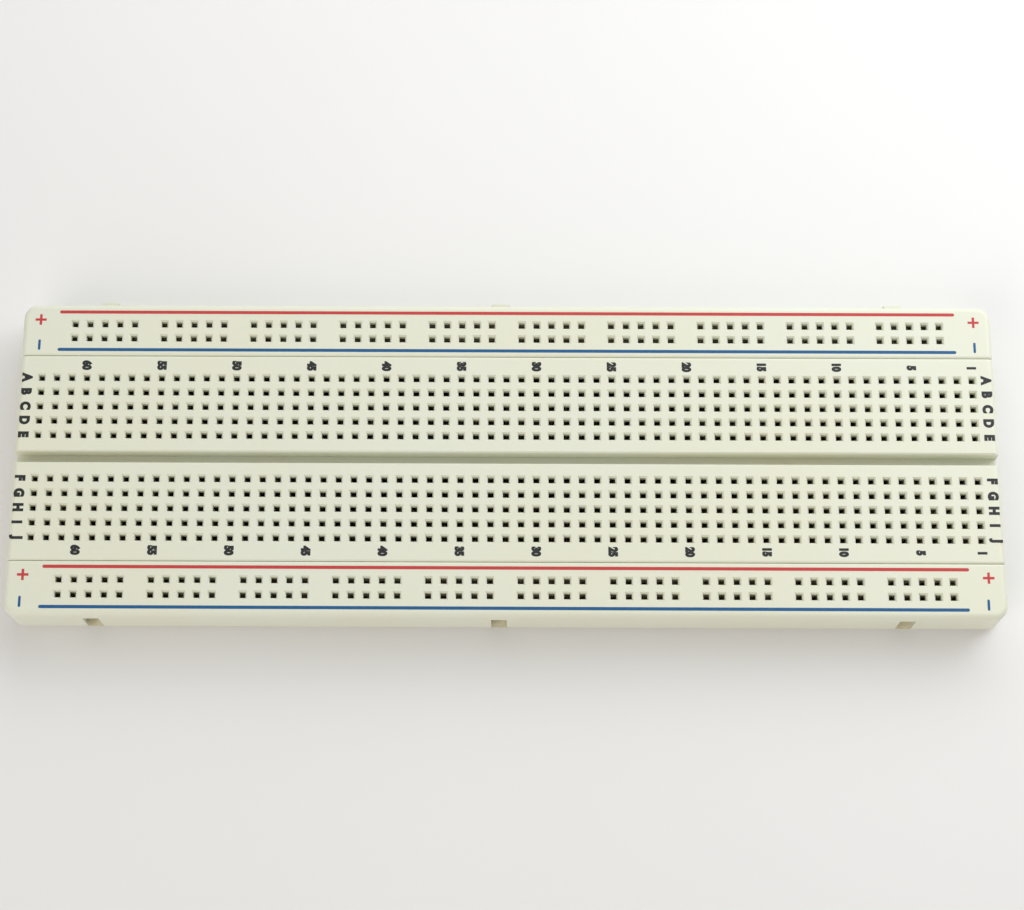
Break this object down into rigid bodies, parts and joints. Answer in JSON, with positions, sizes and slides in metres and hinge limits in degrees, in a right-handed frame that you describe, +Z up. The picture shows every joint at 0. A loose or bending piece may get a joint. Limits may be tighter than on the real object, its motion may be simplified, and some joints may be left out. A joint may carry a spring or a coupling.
{
  "type": "solderless breadboard",
  "caption": "Long solderless breadboard: a terminal strip with a centre channel between two dovetailed bus strips, sprung contacts inside, foam adhesive backing.",
  "frame": {"origin": "centre of the board's plan, on the underside of the release liner", "axes": "+X along the board towards column 1, +Y towards the back bus strip, +Z up out of the tie points"},
  "size_m": [0.165, 0.0557, 0.0085],
  "materials": {
    "body_plastic": "moulded ivory ABS, fine satin texture",
    "contact_metal": "nickel-plated spring bronze, stamped and folded",
    "backing_foam": "closed-cell foam tape, adhesive on both faces",
    "liner_paper": "waxed release paper"
  },
  "bodies": {
    "front_bus_strip": {"front_bus_strip_body": "body_plastic", "front_plus_rail": "contact_metal", "front_minus_rail": "contact_metal", "front_foam_pad": "backing_foam", "release_liner": "liner_paper"},
    "terminal_strip": {"terminal_strip_body": "body_plastic", "terminal_foam_pad": "backing_foam", "clips_a_to_e_col_01_05": "contact_metal", "clips_a_to_e_col_06_10": "contact_metal", "clips_a_to_e_col_11_15": "contact_metal", "clips_a_to_e_col_16_20": "contact_metal", "clips_a_to_e_col_21_25": "contact_metal", "clips_a_to_e_col_26_30": "contact_metal", "clips_a_to_e_col_31_35": "contact_metal", "clips_a_to_e_col_36_40": "contact_metal", "clips_a_to_e_col_41_45": "contact_metal", "clips_a_to_e_col_46_50": "contact_metal", "clips_a_to_e_col_51_55": "contact_metal", "clips_a_to_e_col_56_60": "contact_metal", "clips_a_to_e_col_61_63": "contact_metal", "clips_f_to_j_col_01_05": "contact_metal", "clips_f_to_j_col_06_10": "contact_metal", "clips_f_to_j_col_11_15": "contact_metal", "clips_f_to_j_col_16_20": "contact_metal", "clips_f_to_j_col_21_25": "contact_metal", "clips_f_to_j_col_26_30": "contact_metal", "clips_f_to_j_col_31_35": "contact_metal", "clips_f_to_j_col_36_40": "contact_metal", "clips_f_to_j_col_41_45": "contact_metal", "clips_f_to_j_col_46_50": "contact_metal", "clips_f_to_j_col_51_55": "contact_metal", "clips_f_to_j_col_56_60": "contact_metal", "clips_f_to_j_col_61_63": "contact_metal"},
    "back_bus_strip": {"back_bus_strip_body": "body_plastic", "back_plus_rail": "contact_metal", "back_minus_rail": "contact_metal", "back_foam_pad": "backing_foam"}
  },
  "joints": [
    {"name": "terminal_strip_lift", "type": "slide", "parent": "front_bus_strip", "child": "terminal_strip", "axis": [0, 0, 1], "range_m": [0, 0.009]},
    {"name": "back_bus_strip_lift", "type": "slide", "parent": "terminal_strip", "child": "back_bus_strip", "axis": [0, 0, 1], "range_m": [0, 0.009]}
  ]
}
